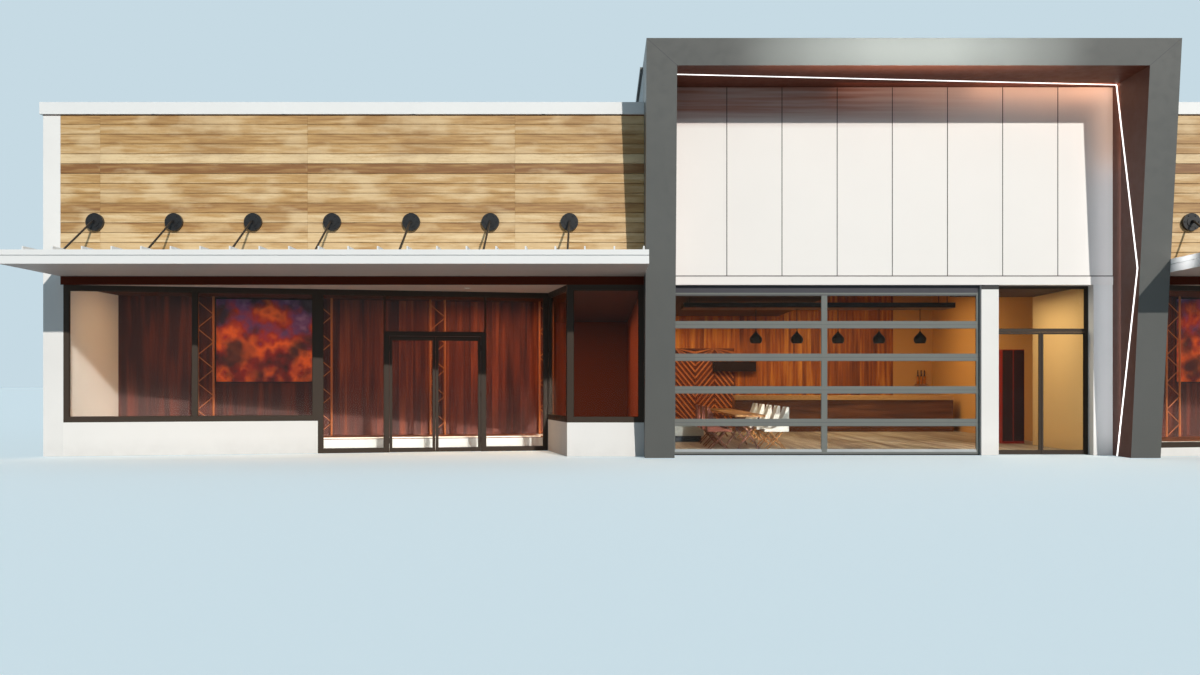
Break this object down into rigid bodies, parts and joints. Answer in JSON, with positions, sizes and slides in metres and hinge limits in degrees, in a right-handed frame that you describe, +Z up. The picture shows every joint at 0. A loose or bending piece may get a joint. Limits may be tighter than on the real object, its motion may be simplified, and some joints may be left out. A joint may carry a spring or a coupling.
{
  "type": "supermarket building",
  "caption": "Single-storey retail row: two timber-clad shops with splayed glazed fronts and hung canopies beside a cafe framed by a tall leaning portal.",
  "frame": {"origin": "bottom centre of the building's bounding box, on the ground", "axes": "+X along the row to the right as seen from the street, +Y from the street to the back, +Z up"},
  "size_m": [32.33, 16.05, 7.54],
  "materials": {
    "floor": "matt timber floor",
    "white_render": "smooth painted render",
    "roof_membrane": "matt roof membrane",
    "ceiling_board": "matt painted board",
    "timber_boards": "oiled horizontal boards",
    "dark_metal": "satin dark brown-grey coating",
    "white_metal": "satin white coating",
    "grey_metal": "satin grey coating",
    "black_metal": "satin black coating",
    "white_panel": "satin white composite panel",
    "light_diffuser": "opal light strip",
    "lining_timber": "warm timber panelling",
    "counter_wood": "oiled counter timber",
    "chair_wood": "pale lacquered timber",
    "display_board": "dark stained display board",
    "clear_glass": "clear glazing"
  },
  "bodies": {
    "building": {"floor_slabs": "floor", "left_end_wall": "white_render", "right_end_wall": "white_render", "left_party_wall": "white_render", "right_party_wall": "white_render", "back_walls": "white_render", "roofs": "roof_membrane", "ceilings": "ceiling_board", "shop_front_walls": "white_render", "left_cladding": "timber_boards", "right_cladding": "timber_boards", "shop_headers": "dark_metal", "left_coping": "white_metal", "right_coping": "white_metal", "cafe_coping": "grey_metal", "left_window_plinth": "white_render", "left_bay_plinth": "white_render", "right_window_plinth": "white_render", "right_bay_plinth": "white_render", "right_nib": "white_render", "left_window_frame": "dark_metal", "left_entrance_frame": "dark_metal", "left_bay_frame": "dark_metal", "right_window_frame": "dark_metal", "right_entrance_frame": "dark_metal", "right_bay_frame": "dark_metal", "left_shop_glass": "clear_glass", "right_shop_glass": "clear_glass", "right_shop_doors": "dark_metal", "left_canopy": "white_metal", "right_canopy": "white_metal", "left_canopy_rods": "black_metal", "right_canopy_rods": "black_metal", "portal_left_leg": "grey_metal", "portal_right_leg": "grey_metal", "portal_beam": "grey_metal", "light_strips": "light_diffuser", "cafe_front_wall": "white_render", "cafe_panels": "white_panel", "cafe_lintel": "white_panel", "cafe_piers": "white_render", "overhead_door": "dark_metal", "overhead_door_glass": "clear_glass", "cafe_entrance_frame": "dark_metal", "cafe_entrance_glass": "clear_glass", "lamp_beam": "black_metal", "pendant_lamps": "black_metal", "cafe_wall_lining": "lining_timber", "cafe_counter": "counter_wood", "cafe_seating": "chair_wood", "display_platforms": "white_render", "display_walls": "display_board"},
    "shop_leaf_left": {"shop_door_left": "dark_metal", "shop_door_left_glass": "clear_glass"},
    "shop_leaf_right": {"shop_door_right": "dark_metal", "shop_door_right_glass": "clear_glass"},
    "cafe_leaf_left": {"cafe_door_left": "dark_metal", "cafe_door_left_glass": "clear_glass"},
    "cafe_leaf_right": {"cafe_door_right": "dark_metal", "cafe_door_right_glass": "clear_glass"}
  },
  "joints": [
    {"name": "shop_door_left_hinge", "type": "hinge", "parent": "building", "child": "shop_leaf_left", "pos_m": [-9.81627, -4.4002, 0], "axis": [0, 0, -1], "range_deg": [0, 90]},
    {"name": "shop_door_right_hinge", "type": "hinge", "parent": "building", "child": "shop_leaf_right", "pos_m": [-8.02644, -4.00013, 0], "axis": [0, 0, 1], "range_deg": [0, 90]},
    {"name": "cafe_door_left_hinge", "type": "hinge", "parent": "building", "child": "cafe_leaf_left", "pos_m": [2.084, -5.123, 0], "axis": [0, 0, -1], "range_deg": [0, 90]},
    {"name": "cafe_door_right_hinge", "type": "hinge", "parent": "building", "child": "cafe_leaf_right", "pos_m": [3.815, -5.123, 0], "axis": [0, 0, 1], "range_deg": [0, 90]}
  ]
}
